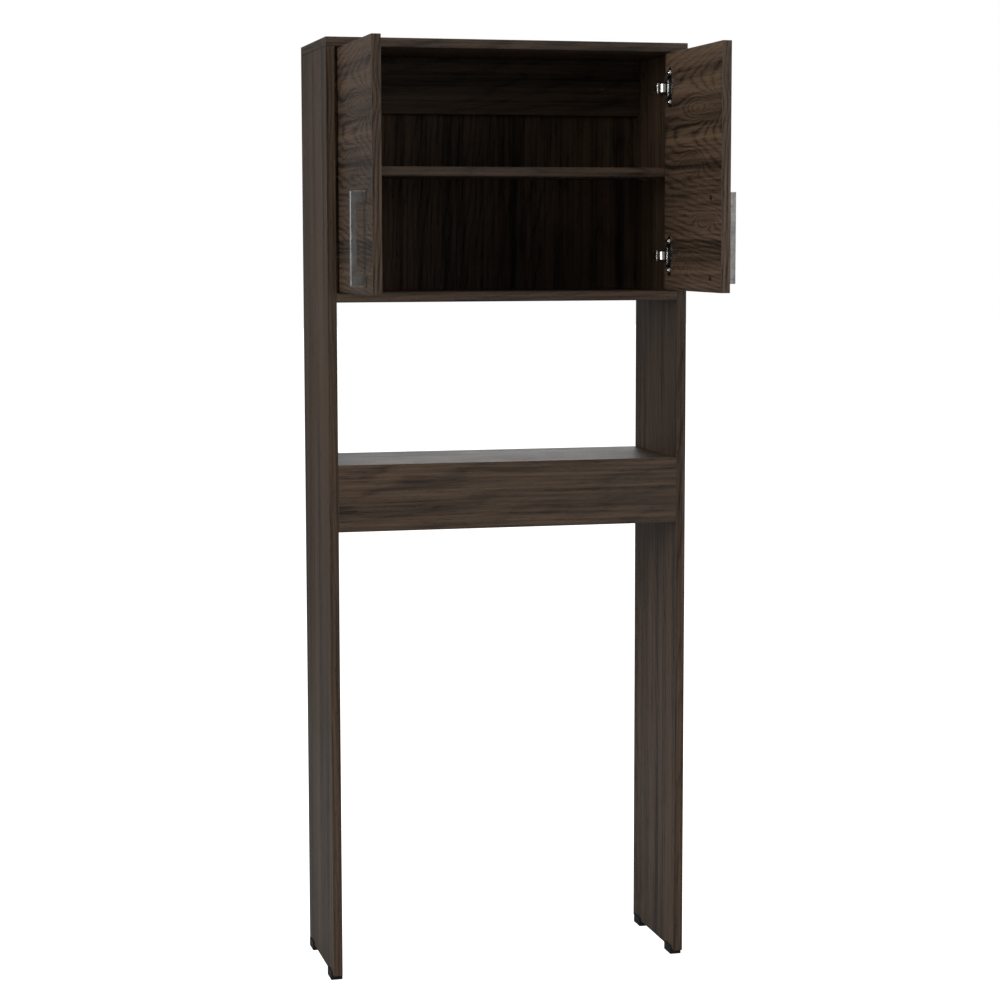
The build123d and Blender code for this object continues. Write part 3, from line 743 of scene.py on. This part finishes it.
def cut_cross(work, top, length, width, depth):
    """Presses a cross recess into the faces near the height top."""
    for axis in ((1, 0, 0), (0, 1, 0)):
        for limit in (-length / 2, -width / 2, width / 2, length / 2):
            everything = work.verts[:] + work.edges[:] + work.faces[:]
            place = Vector(axis) * limit
            bmesh.ops.bisect_plane(work, geom=everything, plane_co=place, plane_no=axis, dist=1e-7)
    in_cross = []
    for face in work.faces:
        middle = face.calc_center_median()
        x, y = abs(middle.x), abs(middle.y)
        in_arm = min(x, y) < width / 2 and max(x, y) < length / 2
        if in_arm and middle.z > top and face.normal.z > 0.2:
            in_cross.append(face)
    moved = bmesh.ops.extrude_face_region(work, geom=in_cross)["geom"]
    bmesh.ops.delete(work, geom=in_cross, context="FACES")
    pushed = [item for item in moved if isinstance(item, bmesh.types.BMVert)]
    bmesh.ops.translate(work, verts=pushed, vec=(0, 0, -depth))
    bmesh.ops.scale(work, verts=pushed, vec=(0.6, 0.6, 1.0))
    return work


def dome(radius, rim, rise, steps):
    """The profile of a domed head that stands on z = 0: a straight rim, then a curve."""
    points = [(radius, 0.0), (radius, rim)]
    for step in range(1, steps + 1):
        turn = step / steps * pi / 2
        points.append((radius * cos(turn) if step < steps else 0.0, rim + rise * sin(turn)))
    return points


print("a round head of four steps has", len(dome(1.0, 0.1, 0.5, 4)), "points in its profile")

# %% [markdown]
# ## Laying copies on the real places
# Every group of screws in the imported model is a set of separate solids. Their places could
# be typed in again, but reading where each solid lies keeps the detailed copies right even if
# the model changes.


# %% Find solids and lay copies
def solids_of(node):
    """The lowest and highest corner of each separate solid in a node."""
    work = bmesh.new()
    work.from_mesh(nodes[node].data)
    bmesh.ops.remove_doubles(work, verts=work.verts, dist=1e-6)
    left = set(work.verts)
    found = []
    while left:
        stack = [left.pop()]
        solid = []
        while stack:
            point = stack.pop()
            solid.append(point)
            for edge in point.link_edges:
                other = edge.other_vert(point)
                if other in left:
                    left.remove(other)
                    stack.append(other)
        places = [point.co for point in solid]
        low = Vector([min(place[axis] for place in places) for axis in range(3)])
        high = Vector([max(place[axis] for place in places) for axis in range(3)])
        found.append((low, high))
    work.free()
    return sorted(found, key=lambda box: tuple(box[0]))


def collect(name, shapes, places, material, node):
    """Joins copies of small bmesh shapes, each at its place, into one piece for a node."""
    whole = bmesh.new()
    for place in places:
        for shape in shapes:
            copy = bpy.data.meshes.new("copy")
            shape.to_mesh(copy)
            copy.transform(place)
            whole.from_mesh(copy)
            bpy.data.meshes.remove(copy)
    mesh = bpy.data.meshes.new(name)
    whole.to_mesh(mesh)
    whole.free()
    mesh.materials.append(material)
    piece = bpy.data.objects.new(name, mesh)
    bpy.context.scene.collection.objects.link(piece)
    for face in mesh.polygons:
        face.use_smooth = True
    mesh.set_sharp_from_angle(angle=radians(35))
    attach(piece, nodes[node]["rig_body"])
    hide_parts(node)
    print("made", name, "with", len(places), "copies and", len(mesh.polygons), "faces")


def facing(direction):
    """The turn that stands a piece made along +Z up along another direction."""
    return Vector((0, 0, 1)).rotation_difference(Vector(direction)).to_matrix().to_4x4()


def head_places(node, direction, head):
    """Where each head sits, one for each solid: head metres back from the solid's far end."""
    axis = Vector(direction)
    places = []
    for low, high in solids_of(node):
        middle = (low + high) / 2
        half = (high - low) / 2
        reach = abs(axis.dot(half))
        places.append(Matrix.Translation(middle + axis * (reach - head)) @ facing(direction))
    return places


print("the left hinge cups have", len(solids_of("left_hinge_cup_screws")), "screws")

# %% Screws with a cross recess
THREAD_ROOT = 0.72
THREAD_PITCH = 0.8


def threaded_shank(radius, length):
    """A pointed shank below z = 0, with grooves for a thread. The thread is cut in rings."""
    pitch = radius * THREAD_PITCH
    root = radius * THREAD_ROOT
    profile = [(0.0, -length), (radius * 0.5, -length), (radius, -length + radius)]
    for turn in range(int((length - radius * 2) / pitch)):
        low = -length + radius + turn * pitch
        profile.append((root, low + pitch * 0.35))
        profile.append((root, low + pitch * 0.65))
        profile.append((radius, low + pitch))
    profile.append((radius, 0.0))
    return turned_piece(profile, 16)


def pan_screw(shank_radius, shank, head_radius, head):
    """A pan-head screw that points down from z = 0, with its head above."""
    shell = turned_piece(dome(head_radius, head * 0.35, head * 0.65, 6), 32)
    cut_cross(shell, head * 0.5, head_radius * 1.05, head_radius * 0.26, head * 0.55)
    bmesh.ops.contextual_create(shell, geom=[edge for edge in shell.edges if edge.is_boundary])
    return [shell, threaded_shank(shank_radius, shank)]


# The radius and length of the shank, then the radius and height of the head, in metres.
SCREW_SIZES = {
    "hinge_cup_screws": (0.00170, 0.0120, 0.0040, 0.0020),
    "hinge_plate_screws": (0.00245, 0.0118, 0.0040, 0.0015),
    "hinge_arm_screws": (0.00195, 0.0082, 0.0035, 0.0018),
    "handle_screws": (0.00195, 0.0250, 0.0040, 0.0025),
}
for side, outward in (("left", -1), ("right", 1)):
    for kind, sizes in SCREW_SIZES.items():
        node = f"{side}_{kind}"
        head = sizes[-1]
        places = head_places(node, (-outward, 0, 0), head)
        plating = bronze if kind == "handle_screws" else nickel
        collect(node + "_detailed", pan_screw(*sizes), places, plating, node)


# %% Nails
NAIL_TAPER = 0.00002


def drive_nails(node, direction, radius, length, point, head_radius, rim, rise):
    """Lays pointed nails with a low domed head on a node's solids."""
    shank = [(0.0, -length), (radius - NAIL_TAPER, point - length), (radius, 0.0)]
    nail = [turned_piece(shank + dome(head_radius, rim, rise, 4), 16)]
    places = head_places(node, direction, rim + rise)
    collect(node + "_detailed", nail, places, zinc, node)


drive_nails(
    "back_panel_nails",
    (0, 1, 0),
    radius=0.00067,
    length=0.020,
    point=0.002,
    head_radius=0.002,
    rim=0.0002,
    rise=0.0004,
)
drive_nails(
    "foot_nails",
    (0, 0, -1),
    radius=0.00097,
    length=0.016,
    point=0.0015,
    head_radius=0.0025,
    rim=0.0004,
    rise=0.0006,
)

# %% [markdown]
# ## The stage
# A plain pale floor, a white surround and four large soft lights: one on each side of the
# front, one above and one behind. The surround and the floor are bright to look at but give
# less light than they show, so that the dark boards keep their depth.


# %% Floor
FLOOR_SEEN = 1.1


def make_floor():
    work = bmesh.new()
    bmesh.ops.create_grid(work, x_segments=8, y_segments=8, size=30.0)
    mesh = bpy.data.meshes.new("floor")
    work.to_mesh(mesh)
    work.free()
    floor = bpy.data.objects.new("floor", mesh)
    bpy.context.scene.collection.objects.link(floor)
    material = new_material("Pale floor")
    tree = material.node_tree
    place = put(tree, "TexCoord").outputs["Object"]
    clouds = noise(tree, place, (2.0, 2.0, 2.0))
    tint = mix_colours(tree, clouds, colour(0.50, 0.50, 0.50), colour(0.54, 0.54, 0.54))
    finish_material(material, tint, 0.9, noise(tree, place, (40.0, 40.0, 40.0)), (0.02, 0.0005))
    shader = tree.nodes["Principled BSDF"]
    shader.inputs["Emission Color"].default_value = colour(1.0, 1.0, 1.0)
    eye = put(tree, "LightPath").outputs["Is Camera Ray"]
    feed(tree, shader.inputs["Emission Strength"], calc(tree, "MULTIPLY", eye, FLOOR_SEEN))
    mesh.materials.append(material)
    print("laid", floor.name)


make_floor()


# %% Surround
def make_surround(seen, given):
    """A white world: `seen` is its strength for the camera, `given` for everything else."""
    world = bpy.data.worlds.new("Studio")
    bpy.context.scene.world = world
    world.use_nodes = True
    tree = world.node_tree
    background = tree.nodes["Background"]
    background.inputs["Color"].default_value = colour(1.0, 1.0, 1.0)
    eye = put(tree, "LightPath").outputs["Is Camera Ray"]
    feed(tree, background.inputs["Strength"], mix_numbers(tree, eye, given, seen))
    print("made", world.name, "surround")


make_surround(seen=1.0, given=0.24)


# %% Lights
def soft_light(name, place, aim, size, power):
    lamp = bpy.data.lights.new(name, "AREA")
    lamp.shape = "RECTANGLE"
    lamp.size, lamp.size_y = size
    lamp.energy = power
    light = bpy.data.objects.new(name, lamp)
    light.visible_camera = False
    light.location = place
    light.rotation_euler = (Vector(aim) - Vector(place)).to_track_quat("-Z", "Y").to_euler()
    bpy.context.scene.collection.objects.link(light)


RACK_MIDDLE = (0.0, 0.0, 0.8)
OPEN_SHELF = (0.1, 0.1, 0.86)
soft_light("front left softbox", (-3.7, -2.3, 2.2), RACK_MIDDLE, size=(2.4, 2.4), power=110.0)
soft_light("front right softbox", (2.8, -3.2, 1.8), RACK_MIDDLE, size=(2.0, 2.4), power=38.0)
soft_light("overhead softbox", (0.0, -0.6, 4.2), RACK_MIDDLE, size=(3.0, 3.0), power=60.0)
soft_light("back softbox", (1.4, 3.6, 1.7), OPEN_SHELF, size=(2.4, 1.4), power=17.0)
print("lit the stage")

# %% [markdown]
# ## The camera
# The camera stands to the left of the rack, about four metres away, at four fifths of its
# height, and looks slightly down and to the right through a long lens.

# %% Camera
lens = bpy.data.cameras.new("camera")
lens.sensor_width = 36.0
lens.lens = 87.6
camera = bpy.data.objects.new("camera", lens)
camera.location = (-1.0025, -3.8781, 1.2313)
look_down, lean, turn_right = 6.11, 0.1, 14.19
turns = (radians(90 - look_down), radians(lean), radians(-turn_right))
camera.rotation_euler = Euler(turns, "XYZ")
bpy.context.scene.collection.objects.link(camera)
bpy.context.scene.camera = camera
bpy.context.scene.view_settings.view_transform = "Standard"
print("camera at", tuple(camera.location))
